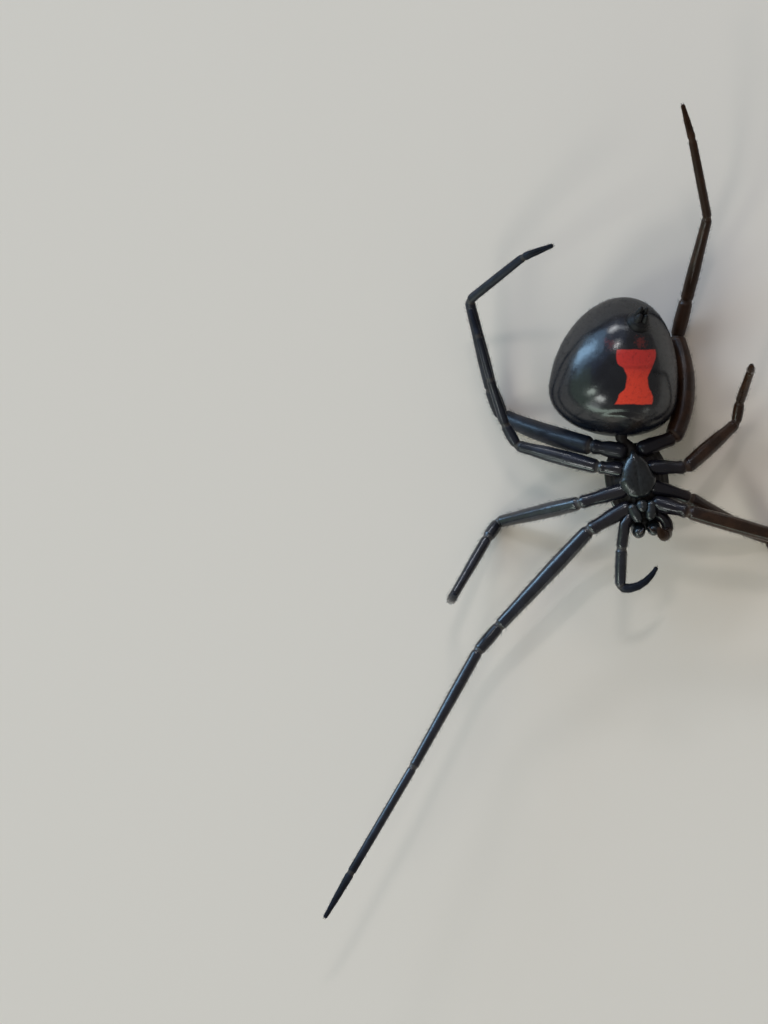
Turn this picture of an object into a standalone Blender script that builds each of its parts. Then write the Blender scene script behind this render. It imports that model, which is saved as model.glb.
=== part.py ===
"""An adult female black widow spider, life size, belly up as it hangs in its web.

The belly faces +Z and the head points towards -Y, so the spider's left legs lie on the -X side.
Its back rests on a small flat of the abdomen and on four knees.
Sizes in this file are millimetres; MM turns them into metres.
"""

from math import cos, exp, pi, radians, sin

import bpy
from mathutils import Vector

MM = 0.001
GAP = 0.26  # what two neighbouring pieces keep between their faces
FLOOR = 0.0  # the height that nothing passes below
SIDES = 12  # corners round a leg
MITRE_FADE = 2.2  # half thicknesses within which a slanted end face straightens out

# The abdomen: a globe that narrows towards its rear, lying along AXIS_TURN from +Y.
ABDOMEN_FRONT = 3.7  # from the tallest place, above the origin, to the front
ABDOMEN_REAR = 4.72
ABDOMEN_HALF_WIDTH = 3.86
ABDOMEN_WIDEST = -1.0  # where along the axis it is widest
ABDOMEN_SWAY = 0.25  # how far its rear end bends towards +X
ABDOMEN_SHIFT = 0.13  # how far all of it lies towards +X of the axis
ABDOMEN_BACK_DEPTH = 4.04  # from the axis down to the back
ABDOMEN_BELLY_RISE = 3.86  # from the axis up to the belly
ABDOMEN_SINK = 0.14  # how much of the curve the resting flat takes off
AXIS_TURN = 8.0  # degrees clockwise from +Y
BELLY_ROLL = 17.0  # degrees that the belly's midline leans towards +X
SPINNERETS_AT = 3.25  # along the axis
ABDOMEN_ROUND = 40
ABDOMEN_STATIONS = 26

# The prosoma, which carries the legs: a frame of its own with forward, side (the spider's left) and height.
PROSOMA = Vector((1.42, -6.26, 0.0))
HEAD_TURN = 10.0  # degrees that the head leans from -Y towards +X
RIM_HEIGHT = 3.62
CARAPACE_TOP = 2.42  # the back's lowest height, since the back is down
CARAPACE_FRONT = 3.15
CARAPACE_REAR = 2.15
CARAPACE_HALF_WIDTH = 1.9
CARAPACE_NECK = 0.2  # how much the head is narrower than the rest
HEAD_BULGE = 0.3  # how much further down the head's back reaches
HEAD_START = 1.5  # how far ahead of the middle the bulge reaches its full height
HEAD_SIDE = 0.95  # how far to either side it fades
CORE_HALF_WIDTH = 0.72
CORE_FRONT = 1.75
CORE_REAR = 2.0
CORE_TOP = 4.72
STERNUM_HALF_WIDTH = 1.02
STERNUM_FRONT = 1.2
STERNUM_REAR = 1.72
STERNUM_THICK = 0.42
STERNUM_BASE = CORE_TOP + GAP
EYE_RADIUS = 0.14
EYE_DOME = ((0, 0.9), (0.66, 1), (0.8, 0.92), (0.92, 0.66), (1, 0.25))

# The waist between the two halves of the body.
PEDICEL_HEIGHT = 4.3
PEDICEL_SIDE = 0.9  # how far it meets the abdomen towards +X from its axis

# Where each coxa leaves the core, forward of the prosoma's middle, and how high.
COXA_FORWARD = {"1": 1.5, "2": 0.5, "3": -0.6, "4": -1.66}
COXA_SIDE = CORE_HALF_WIDTH + 0.36
COXA_HEIGHT = 4.62

# Half thicknesses along each pair of legs: coxa, femur at root and end, patella, tibia at root and end,
# metatarsus at root and end, tarsus at its tip.
THICK = {
    "1": (0.48, 0.47, 0.40, 0.38, 0.34, 0.29, 0.27, 0.25, 0.13),
    "2": (0.46, 0.46, 0.38, 0.37, 0.32, 0.28, 0.26, 0.25, 0.13),
    "3": (0.45, 0.47, 0.36, 0.32, 0.28, 0.24, 0.22, 0.20, 0.12),
    "4": (0.50, 0.60, 0.50, 0.43, 0.38, 0.31, 0.28, 0.25, 0.13),
}

# Each leg's hip, then for femur, patella, tibia, metatarsus and tarsus how far it reaches in plan,
# which way it heads in degrees from +X, and the height that it comes to.
LEGS = {
    "leg_l1": ((-1.46, -9.34, 4.5), (7.87, -133.0, 3.6), (1.98, -130.7, 3.9), (7.98, -119.3, 5.0),
               (7.32, -120.6, 5.5), (3.12, -120.0, 5.3)),
    "leg_l2": ((-2.06, -7.72, 4.35), (4.90, -166.6, 0.34), (1.18, -125.7, 0.95), (4.36, -120.6, 2.9),
               (0.30, 66.0, 7.6), (0.23, 66.8, 9.6)),
    "leg_l3": ((-0.92, -5.56, 4.45), (5.02, 165.1, 3.4), (1.45, 119.7, 3.6), (2.85, 108.4, 4.6),
               (2.68, 105.6, 5.4), (1.69, 106.5, 5.3)),
    "leg_l4": ((-1.34, -4.30, 4.25), (5.60, 160.9, 0.42), (1.78, 111.8, 1.1), (5.45, 104.3, 3.6),
               (4.08, 38.1, 6.3), (1.86, 20.8, 7.3)),
    "leg_r4": ((3.62, -3.82, 3.6), (6.13, 86.9, 0.42), (2.28, 76.3, 1.1), (5.06, 76.3, 3.3),
               (4.67, 102.6, 6.1), (2.18, 105.9, 6.5)),
    "leg_r3": ((4.36, -5.59, 4.4), (4.08, 40.8, 2.2), (1.31, 80.8, 2.5), (1.92, 72.7, 4.6),
               (0.13, 135.0, 7.4), (0.16, 111.8, 9.0)),
    "leg_r2": ((4.61, -7.44, 3.9), (5.46, -26.4, 0.34), (1.28, -57.4, 0.95), (4.49, -60.4, 2.9),
               (2.52, -64.7, 6.8), (1.33, -71.6, 8.4)),
    "leg_r1": ((4.50, -8.25, 5.15), (7.89, -15.6, 3.6), (1.93, -36.2, 3.9), (7.86, -47.8, 5.0),
               (7.27, -62.0, 5.4), (3.10, -68.4, 5.2)),
}
PIECES = ("coxa", "femur", "patella", "tibia", "metatarsus", "tarsus")
FEMUR_BOW = {"leg_l4": 0.18, "leg_r4": 0.72, "leg_r2": 0.22}  # how far a femur bulges outwards in plan

# The palps: base, then reach, heading and height as for the legs, in millimetres.
PALPS = {
    "palp_l": ((0.69, -8.77, 4.75), (1.69, -97.1, 4.5), (2.19, -91.9, 4.2)),
    "palp_r": ((3.20, -8.75, 4.45), (0.73, -84.0, 4.45), (0.38, -144.0, 5.3)),
}
PALP_TARSUS = {"palp_l": (2.61, 31.9, 4.3, -0.42), "palp_r": (0.56, 110.3, 6.2, 0.0)}
PALP_HALF_THICK = 0.35

COLOURS = {
    "gloss_black": (0.012, 0.013, 0.017, 1.0),
    "leg_black": (0.016, 0.015, 0.018, 1.0),
    "joint_brown": (0.045, 0.028, 0.022, 1.0),
}


def material(name):
    found = bpy.data.materials.get(name)
    if found:
        return found
    made = bpy.data.materials.new(name)
    made.use_nodes = True
    shader = made.node_tree.nodes["Principled BSDF"]
    shader.inputs["Base Color"].default_value = COLOURS[name]
    shader.inputs["Roughness"].default_value = 0.2 if name == "gloss_black" else 0.35
    return made


def solid(name, rings, colour):
    """One closed object from rings of as many corners each, with a fan at either end."""
    count = len(rings[0])
    points = [point for ring in rings for point in ring]
    faces = []
    for row in range(len(rings) - 1):
        for k in range(count):
            after = (k + 1) % count
            a, b = row * count + k, row * count + after
            faces.append((a, b, b + count, a + count))
    for row, turned in ((0, True), (len(rings) - 1, False)):
        ring = rings[row]
        points.append(sum(ring, Vector()) / count)
        middle = len(points) - 1
        for k in range(count):
            a, b = row * count + k, row * count + (k + 1) % count
            faces.append((b, a, middle) if turned else (a, b, middle))
    swept = 0.0
    for face in faces:
        for one, two in zip(face[1:], face[2:]):
            swept += points[face[0]].dot(points[one].cross(points[two]))
    if swept < 0:
        faces = [face[::-1] for face in faces]
    mesh = bpy.data.meshes.new(name)
    mesh.from_pydata([Vector((p.x, p.y, max(p.z, FLOOR))) * MM for p in points], [], faces)
    mesh.materials.append(material(colour))
    made = bpy.data.objects.new(name, mesh)
    bpy.context.scene.collection.objects.link(made)
    return made


def join(name, pieces):
    """The named pieces fused into one closed body by a Boolean union."""
    first, others = pieces[0], pieces[1:]
    group = bpy.data.collections.new(name + "_pieces")
    for piece in others:
        bpy.context.scene.collection.objects.unlink(piece)
        group.objects.link(piece)
    union = first.modifiers.new("union", "BOOLEAN")
    union.operation = "UNION"
    union.solver = "EXACT"
    union.operand_type = "COLLECTION"
    union.collection = group
    graph = bpy.context.evaluated_depsgraph_get()
    mesh = bpy.data.meshes.new_from_object(first.evaluated_get(graph))
    first.modifiers.clear()
    first.data = mesh
    for piece in others:
        bpy.data.objects.remove(piece)
    bpy.data.collections.remove(group)
    first.name = name
    return first


def tube(name, start, end, profile, colour, bow=Vector(), flat=1.0, sides=SIDES, cuts=(None, None)):
    """A limb from start to end.
    The profile lists (share of the length, half thickness), and bow bends the limb's middle.
    cuts holds, for either end, the way that the end face looks where it isn't square to the limb."""
    along = (end - start).normalized()
    across = along.cross(Vector((0, 0, 1)))
    across = across.normalized() if across.length > 0.05 else Vector((1, 0, 0))
    rise = along.cross(across).normalized()
    length = (end - start).length
    rings = []
    for share, half in profile:
        middle = start.lerp(end, share) + bow * 4 * share * (1 - share)
        ring = []
        for turn in (2 * pi * k / sides for k in range(sides)):
            out = across * (half * flat * cos(turn)) + rise * (half * sin(turn))
            slide = 0.0
            for cut, distance in zip(cuts, (share * length, (1 - share) * length)):
                if cut:
                    fade = max(0.0, 1 - distance / (half * MITRE_FADE))
                    slide -= fade * cut.dot(out) / cut.dot(along)
            ring.append(middle + out + along * slide)
        rings.append(ring)
    return solid(name, rings, colour)


def mitre(before, after):
    """The way both end faces of a joint look, given the ways that the limb runs before and after it."""
    return (before.normalized() + after.normalized()).normalized()


def trimmed(start, end, cuts, gap):
    """The limb's ends, each moved back by half of the gap, measured square to the joint's faces."""
    along = (end - start).normalized()
    first = gap / 2 / abs(cuts[0].dot(along)) if cuts[0] else 0
    second = gap / 2 / abs(cuts[1].dot(along)) if cuts[1] else 0
    return start + along * first, end - along * second


def in_prosoma(forward, side, height):
    """A point of the prosoma's own frame, in the object's."""
    turn = radians(HEAD_TURN)
    ahead = Vector((sin(turn), -cos(turn), 0))
    left = Vector((-cos(turn), -sin(turn), 0))
    return PROSOMA + ahead * forward + left * side + Vector((0, 0, height))


def along_abdomen(distance, side, height):
    """A point from the abdomen's axis: distance towards the rear, side towards +X."""
    turn = radians(AXIS_TURN)
    x = sin(turn) * distance + cos(turn) * side
    y = cos(turn) * distance - sin(turn) * side
    return Vector((x, y, height))


def abdomen_share(distance, peak, rear_power, front_power):
    """The share of its full size that the abdomen has at this distance along its axis, full at peak."""
    if distance > peak:
        return (1 - ((distance - peak) / (ABDOMEN_REAR - peak)) ** rear_power) ** 0.5
    return (1 - ((peak - distance) / (ABDOMEN_FRONT + peak)) ** front_power) ** 0.5


def abdomen_point(distance, turn):
    """A point of the abdomen's surface, turn radians round its axis from the +X side towards the belly."""
    wide = ABDOMEN_HALF_WIDTH * abdomen_share(distance, ABDOMEN_WIDEST, 1.95, 2.3)
    rise = ABDOMEN_BELLY_RISE if sin(turn) > 0 else ABDOMEN_BACK_DEPTH
    tall = rise * abdomen_share(distance, 0.0, 2.1, 2.4)
    sway = ABDOMEN_SHIFT + ABDOMEN_SWAY * (max(distance, 0) / ABDOMEN_REAR) ** 2
    middle = ABDOMEN_BACK_DEPTH - ABDOMEN_SINK
    return along_abdomen(distance, sway + wide * cos(turn), middle + tall * sin(turn))


def make_abdomen():
    rings = []
    for step in range(ABDOMEN_STATIONS + 1):
        share = 0.5 - 0.5 * cos(pi * (step + 0.6) / (ABDOMEN_STATIONS + 1.2))
        distance = -ABDOMEN_FRONT + (ABDOMEN_FRONT + ABDOMEN_REAR) * share
        rings.append([abdomen_point(distance, 2 * pi * k / ABDOMEN_ROUND) for k in range(ABDOMEN_ROUND)])
    return solid("abdomen", rings, "gloss_black")


def on_abdomen(distance, turn):
    """A point of the abdomen's surface and the way straight out of it."""
    step = 0.05
    across = abdomen_point(distance, turn + step) - abdomen_point(distance, turn - step)
    rearward = abdomen_point(distance + step, turn) - abdomen_point(distance - step, turn)
    return abdomen_point(distance, turn), rearward.cross(across).normalized()


def make_spinnerets():
    """A low collar with two large cones in front, two behind and a small one between."""
    point, out = on_abdomen(SPINNERETS_AT, radians(90 - BELLY_ROLL))
    if out.z < 0:
        out = -out
    root = point + out * GAP
    pieces = [tube("collar", root, root + out * 0.3, ((0, 0.6), (0.5, 0.62), (1, 0.5)), "joint_brown")]
    rearward = along_abdomen(1, 0, 0) - along_abdomen(0, 0, 0)
    across = out.cross(rearward).normalized()
    for back, side, reach, half in ((-0.26, -0.26, 0.62, 0.24), (-0.26, 0.26, 0.62, 0.24),
                                    (0.24, -0.22, 0.5, 0.2), (0.24, 0.22, 0.5, 0.2)):
        foot = root + out * 0.12 + rearward * back + across * side
        tip = foot + out * reach + rearward * 0.18 - across * (side * 0.3)
        cone = ((0, half), (0.6, half * 0.9), (0.92, half * 0.6), (1, half * 0.3))
        pieces.append(tube("cone", foot, tip, cone, "joint_brown", sides=10))
    return join("spinnerets", pieces)


def outline_place(turn, forward, rear, half_width, neck, blunt=0.82):
    """How far forward and how far to the side the prosoma's oval runs at this turn from straight ahead."""
    along, across = cos(turn), sin(turn)
    reach = abs(along) ** blunt * (forward if along > 0 else -rear)
    narrow = 1 - neck * max(along, 0) ** 1.5
    return reach, abs(across) ** blunt * half_width * narrow * (1 if across > 0 else -1)


def outline(forward, rear, half_width, height, neck=0.0, corners=28):
    """A ring of the prosoma: an oval with its own length ahead and behind, drawn in towards the front.
    height is a number, or a function of the turn from straight ahead."""
    ring = []
    for turn in (2 * pi * k / corners for k in range(corners)):
        reach, side = outline_place(turn, forward, rear, half_width, neck)
        ring.append(in_prosoma(reach, side, height(turn) if callable(height) else height))
    return ring


def dome_outline(share):
    """The dome's size ahead, behind and to the side at this share."""
    return CARAPACE_FRONT * (0.3 + 0.7 * share), CARAPACE_REAR * share, CARAPACE_HALF_WIDTH * share


def dome_height(share, turn):
    """How high the back's dome stands where its outline has shrunk to this share.
    The head bulges further down."""
    reach, side = outline_place(turn, *dome_outline(share), CARAPACE_NECK)
    ahead = min(max(reach / HEAD_START, 0), 1)
    head = HEAD_BULGE * ahead ** 2 * (3 - 2 * ahead) * exp(-(side / HEAD_SIDE) ** 2) * (1 - share ** 3)
    return RIM_HEIGHT - (RIM_HEIGHT - CARAPACE_TOP) * (1 - share ** 2.6) ** 0.75 - head


def on_face(share, turn):
    """A point of the dome's front, turn degrees from straight ahead."""
    reach, side = outline_place(radians(turn), *dome_outline(share), CARAPACE_NECK)
    return in_prosoma(reach, side, dome_height(share, radians(turn)))


def make_carapace():
    """The shell of the back with its two rows of eyes, and the core that the legs stand round."""
    rings = []
    for share in (0.14, 0.36, 0.56, 0.73, 0.86, 0.95, 1.0):
        height = lambda turn, share=share: dome_height(share, turn)
        rings.append(outline(*dome_outline(share), height, neck=CARAPACE_NECK))
    lip = (CARAPACE_FRONT - 0.12, CARAPACE_REAR - 0.1, CARAPACE_HALF_WIDTH - 0.1)
    rings.append(outline(*lip, RIM_HEIGHT + 0.16, neck=CARAPACE_NECK))
    rings.append(outline(CORE_FRONT, CORE_REAR, CORE_HALF_WIDTH + 0.12, RIM_HEIGHT + 0.36))
    rings.append(outline(CORE_FRONT, CORE_REAR, CORE_HALF_WIDTH, CORE_TOP))
    pieces = [solid("shell", rings, "gloss_black")]
    inside = in_prosoma(CARAPACE_FRONT * 0.35, 0, RIM_HEIGHT - 0.2)
    for share, turns in ((0.74, (12, 38)), (0.9, (9, 32))):
        for turn in (turns[0], turns[1], -turns[0], -turns[1]):
            on_shell = on_face(share, turn)
            out = (on_shell - inside).normalized()
            tip, foot = on_shell + out * (EYE_RADIUS * 0.55), on_shell - out * (EYE_RADIUS * 2)
            dome = [(at, EYE_RADIUS * part) for at, part in EYE_DOME]
            pieces.append(tube("eye", foot, tip, dome, "gloss_black", sides=10))
    return join("carapace", pieces)


def make_sternum():
    """A shield, blunt ahead and pointed behind, domed towards the belly."""
    rings = []
    for share, rise in ((1.0, 0.0), (1.0, 0.3), (0.86, 0.72), (0.55, 0.95), (0.2, 1.0)):
        ring = []
        for k in range(24):
            turn = 2 * pi * k / 24
            along, across = cos(turn), sin(turn)
            reach = along * (STERNUM_FRONT if along > 0 else STERNUM_REAR)
            point_in = 1 - 0.55 * max(-along, 0) ** 1.6
            side = across * STERNUM_HALF_WIDTH * point_in * (1.08 if along > 0 else 1.0)
            ring.append(in_prosoma(reach * share, side * share, STERNUM_BASE + STERNUM_THICK * rise))
        rings.append(ring)
    return solid("sternum", rings, "gloss_black")


def make_mouthparts():
    """The lip in the middle and the two jaw lobes that lean together ahead of it, on one low base."""
    base_height = STERNUM_BASE - 0.1
    front = STERNUM_FRONT + GAP + 0.05
    start, end = in_prosoma(front + 0.02, 0, base_height), in_prosoma(front + 0.8, 0, base_height)
    pieces = [tube("base", start, end, ((0, 0.2), (0.3, 0.26), (1, 0.22)), "gloss_black", flat=2.6)]
    start, end = in_prosoma(front, 0, base_height + 0.12), in_prosoma(front + 0.5, 0, base_height + 0.3)
    pieces.append(tube("lip", start, end, ((0, 0.24), (0.6, 0.24), (1, 0.12)), "gloss_black", flat=1.3))
    for side in (1, -1):
        pieces.append(tube("lobe", in_prosoma(front + 0.08, 0.56 * side, base_height + 0.08),
                           in_prosoma(front + 1.12, 0.3 * side, base_height + 0.14),
                           ((0, 0.22), (0.3, 0.3), (0.75, 0.27), (1, 0.14)), "gloss_black"))
    return join("mouthparts", pieces)


def make_chelicera(name, side):
    """A jaw that leaves the front rim of the carapace and slants ahead, with its fang folded inwards."""
    foot = in_prosoma(CARAPACE_FRONT - 0.3, 0.47 * side, RIM_HEIGHT + 0.16 + GAP)
    tip = in_prosoma(CARAPACE_FRONT + 0.12, 0.43 * side, RIM_HEIGHT + 1.42)
    thick = ((0, 0.32), (0.16, 0.4), (0.45, 0.42), (0.75, 0.37), (0.92, 0.28), (1, 0.16))
    jaw = tube("jaw", foot, tip, thick, "gloss_black")
    hinge = foot.lerp(tip, 0.93)
    point = in_prosoma(CARAPACE_FRONT - 0.16, 0.18 * side, RIM_HEIGHT + 1.52)
    fang = tube("fang", hinge, point, ((0, 0.12), (0.5, 0.09), (1, 0.03)), "joint_brown", sides=8)
    return join(name, [jaw, fang])


def make_pedicel():
    """The waist between the carapace's rear and the abdomen's front."""
    start = in_prosoma(-CORE_REAR - GAP, 0, PEDICEL_HEIGHT)
    end = along_abdomen(-ABDOMEN_FRONT - GAP, PEDICEL_SIDE, PEDICEL_HEIGHT + 0.15)
    return tube("pedicel", start, end, ((0, 0.3), (0.5, 0.27), (0.85, 0.36), (1, 0.4)), "joint_brown")


def make_palp(name):
    base, femur, shank = PALPS[name]
    points = [Vector(base)]
    for reach, heading, height in (femur, shank):
        turn = radians(heading)
        points.append(Vector((points[-1].x + reach * cos(turn), points[-1].y + reach * sin(turn), height)))
    half = PALP_HALF_THICK
    rings_at = ((0, half * 0.8), (0.15, half), (0.8, half * 1.05), (1, half * 0.85))
    first = tube("upper", points[0], points[1], rings_at, "leg_black")
    overlap = (points[2] - points[1]).normalized() * half * 0.5
    second = tube("lower", points[1] - overlap, points[2], rings_at, "leg_black")
    join(name, [first, second])
    reach, heading, height, bow = PALP_TARSUS[name]
    turn = radians(heading)
    ahead = Vector((cos(turn), sin(turn), 0))
    start = points[2] + (points[2] - points[1]).normalized() * (GAP + 0.04)
    end = Vector((start.x + reach * ahead.x, start.y + reach * ahead.y, height))
    thick = [(at, half * part) for at, part in ((0, 0.75), (0.12, 0.8), (0.5, 0.66), (0.9, 0.5), (1, 0.3))]
    tube(name + "_tarsus", start, end, thick, "leg_black", bow=Vector((-ahead.y, ahead.x, 0)) * bow)


def make_leg(name):
    """Coxa with its trochanter, femur, patella, tibia, metatarsus and tarsus, each its own node."""
    pair, side = name[-1], 1 if "_l" in name else -1
    coxa, femur_root, femur_end, patella, tibia_root, tibia_end, meta_root, meta_end, tip = THICK[pair]
    points = [in_prosoma(COXA_FORWARD[pair], COXA_SIDE * side, COXA_HEIGHT), Vector(LEGS[name][0])]
    for reach, heading, height in LEGS[name][1:]:
        turn = radians(heading)
        points.append(Vector((points[-1].x + reach * cos(turn), points[-1].y + reach * sin(turn), height)))
    profiles = (
        ((0, coxa * 0.62), (0.14, coxa * 0.84), (0.5, coxa * 0.96), (0.66, coxa * 0.8),
         (0.74, coxa * 0.78), (0.88, coxa * 0.9), (1, coxa * 0.76)),
        ((0, femur_root * 0.7), (0.05, femur_root * 0.88), (0.16, femur_root * 0.98),
         (0.34, femur_root * 1.02), (0.6, femur_root * 0.95), (0.82, femur_end), (0.95, femur_end),
         (1, femur_end * 0.8)),
        ((0, patella * 0.82), (0.16, patella * 0.97), (0.5, patella * 1.03), (0.85, patella),
         (1, patella * 0.82)),
        ((0, tibia_root * 0.82), (0.06, tibia_root), (0.3, tibia_root * 1.02),
         (0.7, (tibia_root + tibia_end) * 0.49), (0.95, tibia_end), (1, tibia_end * 0.82)),
        ((0, meta_root * 0.88), (0.05, meta_root), (0.5, (meta_root + meta_end) * 0.48),
         (0.95, meta_end), (1, meta_end * 0.9)),
        ((0, meta_end * 0.9), (0.12, meta_end), (0.5, (meta_end * 0.6 + tip * 0.4)), (0.8, tip * 1.3),
         (0.95, tip), (1, tip * 0.5)),
    )
    ways = [after - before for before, after in zip(points, points[1:])]
    joints = [None] + [mitre(before, after) for before, after in zip(ways, ways[1:])] + [None]
    for number, piece in enumerate(PIECES):
        cuts = joints[number:number + 2]
        start, end = trimmed(points[number], points[number + 1], cuts, GAP)
        bow = Vector()
        if piece == "femur" and name in FEMUR_BOW:
            ahead = (end - start).normalized()
            bow = Vector((ahead.y, -ahead.x, 0)) * (FEMUR_BOW[name] * -side)
        tube(f"{name}_{piece}", start, end, profiles[number], "leg_black", bow=bow, cuts=cuts)


def main():
    for leftover in list(bpy.data.objects):
        bpy.data.objects.remove(leftover)
    make_abdomen()
    make_spinnerets()
    make_pedicel()
    make_carapace()
    make_sternum()
    make_mouthparts()
    make_chelicera("chelicera_l", 1)
    make_chelicera("chelicera_r", -1)
    for name in PALPS:
        make_palp(name)
    for name in LEGS:
        make_leg(name)


main()
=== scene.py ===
# %% [markdown]
# # A black widow spider, belly up
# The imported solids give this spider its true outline, leg by leg. This lesson dresses them: a glossy
# abdomen with its red hourglass, smooth bent legs whose joints close up, jaws, eyes, fine bristles and claws.
# The first cell loads the solids and keeps the box that they fill, so that the dressed spider can be
# measured against it at the end.

# %% Load the solids
import random
from math import atan2, cos, exp, hypot, pi, radians, sin, sqrt, tan

import bpy
from mathutils import Matrix, Vector


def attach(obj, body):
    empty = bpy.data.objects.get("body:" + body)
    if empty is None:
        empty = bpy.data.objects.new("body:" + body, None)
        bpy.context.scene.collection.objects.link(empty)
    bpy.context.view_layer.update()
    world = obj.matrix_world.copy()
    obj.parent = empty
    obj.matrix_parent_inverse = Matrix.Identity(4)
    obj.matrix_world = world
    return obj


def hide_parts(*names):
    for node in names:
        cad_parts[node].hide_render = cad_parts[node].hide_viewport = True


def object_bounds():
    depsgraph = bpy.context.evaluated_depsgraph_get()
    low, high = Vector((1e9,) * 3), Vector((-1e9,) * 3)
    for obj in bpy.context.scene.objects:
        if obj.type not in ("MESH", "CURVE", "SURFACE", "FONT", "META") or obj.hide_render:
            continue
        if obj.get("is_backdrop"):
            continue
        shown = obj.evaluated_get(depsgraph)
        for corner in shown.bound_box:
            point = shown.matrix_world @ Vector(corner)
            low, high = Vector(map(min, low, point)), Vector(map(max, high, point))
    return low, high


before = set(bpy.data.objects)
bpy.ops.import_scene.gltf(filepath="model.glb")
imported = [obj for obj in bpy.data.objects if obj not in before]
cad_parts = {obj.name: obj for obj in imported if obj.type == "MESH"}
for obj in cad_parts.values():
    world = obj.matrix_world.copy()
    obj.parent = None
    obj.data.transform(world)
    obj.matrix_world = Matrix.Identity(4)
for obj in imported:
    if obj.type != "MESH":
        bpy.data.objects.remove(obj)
cad_low, cad_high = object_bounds()
spans = [round((b - a) * 1000, 1) for a, b in zip(cad_low, cad_high)]
print("solids:", len(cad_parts), "box in mm:", spans)

# %% [markdown]
# ## Working in millimetres
# A spider's leg is half a millimetre thick, and Blender's modelling tools are happiest with sizes near one.
# So every piece is modelled with one unit as one millimetre, and `finish_piece` shrinks the finished mesh by
# a thousand, which leaves its object at the origin, unturned and unscaled. It also puts the piece on the
# body, hides the solids that it takes the place of, and gives it its material.

# %% Helpers that every piece uses
MM = 0.001
chance = random.Random(11)


def start_clean():
    if bpy.context.object and bpy.context.object.mode != "OBJECT":
        bpy.ops.object.mode_set(mode="OBJECT")
    bpy.ops.object.select_all(action="DESELECT")


def select_only(*objects):
    start_clean()
    for obj in objects:
        obj.select_set(True)
    bpy.context.view_layer.objects.active = objects[0]


def linked(name, data):
    made = bpy.data.objects.new(name, data)
    bpy.context.collection.objects.link(made)
    return made


def joined(pieces):
    select_only(*pieces)
    bpy.ops.object.join()
    return pieces[0]


def shape(obj, rule):
    """Moves every point of the mesh to where the rule puts it, as the Move tool would."""
    for point in obj.data.vertices:
        point.co = rule(point.co)
    obj.data.update()


def shaped_sphere(segments, rings, rule):
    """A sphere of radius 1 whose points are moved by the rule, with its faces turned outwards."""
    start_clean()
    bpy.ops.mesh.primitive_uv_sphere_add(segments=segments, ring_count=rings, radius=1)
    made = bpy.context.object
    shape(made, rule)
    bpy.ops.object.mode_set(mode="EDIT")
    bpy.ops.mesh.select_all(action="SELECT")
    bpy.ops.mesh.normals_make_consistent(inside=False)
    bpy.ops.object.mode_set(mode="OBJECT")
    return made


def finish_piece(obj, name, finish, slot, *nodes):
    obj.name = obj.data.name = name
    obj.data.transform(Matrix.Scale(MM, 4) @ obj.matrix_world)
    obj.matrix_world = Matrix()
    obj.data.materials.clear()
    obj.data.materials.append(finish)
    select_only(obj)
    bpy.ops.object.shade_smooth()
    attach(obj, "root")
    if nodes:
        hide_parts(*nodes)
    print(name, len(obj.data.polygons), "faces")
    return obj


def store(obj, label, values):
    """Keeps a number for every point of the mesh, which its finish reads."""
    obj.data.attributes.new(label, "FLOAT", "POINT").data.foreach_set("value", values)


# %% [markdown]
# ## Where things are
# These are the solids' own sizes. The leg table gives each hip, then for femur, patella, tibia, metatarsus
# and tarsus how far it reaches seen from above, which way it heads and the height that it comes to. The
# prosoma, the front half of the body, has a frame of its own because the head leans a little.

# %% Sizes of the body and the legs
ABDOMEN_FRONT, ABDOMEN_REAR, ABDOMEN_HALF_WIDTH, ABDOMEN_WIDEST = 3.7, 4.72, 3.86, -1.0
ABDOMEN_SWAY, ABDOMEN_SHIFT, BACK_DEPTH, BELLY_RISE, SINK = 0.25, 0.13, 4.04, 3.86, 0.14
AXIS_TURN, BELLY_ROLL, SPINNERETS_AT = 8.0, 17.0, 3.25
PROSOMA, HEAD_TURN, RIM_HEIGHT, CARAPACE_TOP = Vector((1.42, -6.26, 0)), 10.0, 3.62, 2.42
CARAPACE_FRONT, CARAPACE_REAR, CARAPACE_HALF_WIDTH = 3.15, 2.15, 1.9
CARAPACE_NECK, HEAD_BULGE, HEAD_START, HEAD_SIDE, EYE_RADIUS = 0.2, 0.3, 1.5, 0.95, 0.14
STERNUM_HALF_WIDTH, STERNUM_FRONT, STERNUM_REAR, STERNUM_THICK, STERNUM_BASE = 1.02, 1.2, 1.72, 0.42, 4.98
COXA_FORWARD, COXA_HEIGHT = {"1": 1.5, "2": 0.5, "3": -0.6, "4": -1.66}, 4.62
COXA_ROOT = {"1": 0.6, "2": 0.6, "3": 0.6, "4": 0.3}
THICK = {
    "1": (0.48, 0.47, 0.40, 0.38, 0.34, 0.29, 0.27, 0.25, 0.13),
    "2": (0.46, 0.46, 0.38, 0.37, 0.32, 0.28, 0.26, 0.25, 0.13),
    "3": (0.45, 0.47, 0.36, 0.32, 0.28, 0.24, 0.22, 0.20, 0.12),
    "4": (0.50, 0.60, 0.50, 0.43, 0.38, 0.31, 0.28, 0.25, 0.13),
}
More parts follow.
